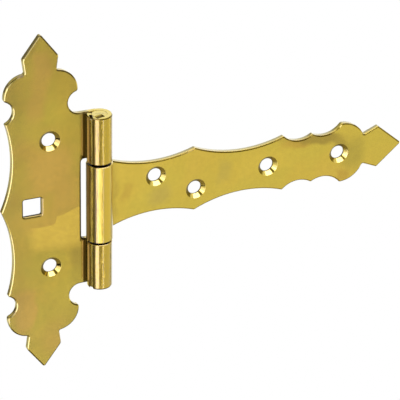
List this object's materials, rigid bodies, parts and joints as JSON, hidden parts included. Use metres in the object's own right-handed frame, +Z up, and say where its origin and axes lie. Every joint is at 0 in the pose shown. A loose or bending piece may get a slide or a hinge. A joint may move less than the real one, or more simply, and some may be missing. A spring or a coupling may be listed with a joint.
{
  "type": "decorative gate hinge",
  "caption": "Yellow zinc-plated strap hinge: an ornamental upright plate and a long spear-tipped strap, each rolled into eyes round a pin.",
  "frame": {"origin": "centre of the square bolt hole, on the back face of the upright plate", "axes": "+X along the open strap, +Y at right angles to the leaves towards the wood behind them, +Z up along the hinge pin"},
  "size_m": [0.1785, 0.0109, 0.149],
  "materials": {
    "plated_plate": "yellow-passivated zinc plating on sheet steel, semi-gloss, mottled",
    "plated_strap": "yellow-passivated zinc plating on sheet steel, semi-gloss",
    "plated_pin": "yellow-passivated zinc plating on steel rod, semi-gloss"
  },
  "bodies": {
    "fixed_plate": {"plate": "plated_plate", "hinge_pin": "plated_pin"},
    "gate_strap": {"strap": "plated_strap"}
  },
  "joints": [
    {"name": "strap_swing", "type": "hinge", "parent": "fixed_plate", "child": "gate_strap", "pos_m": [0.0274, -0.00518, 0], "axis": [0, 0, 1], "range_deg": [-188, 98]}
  ]
}
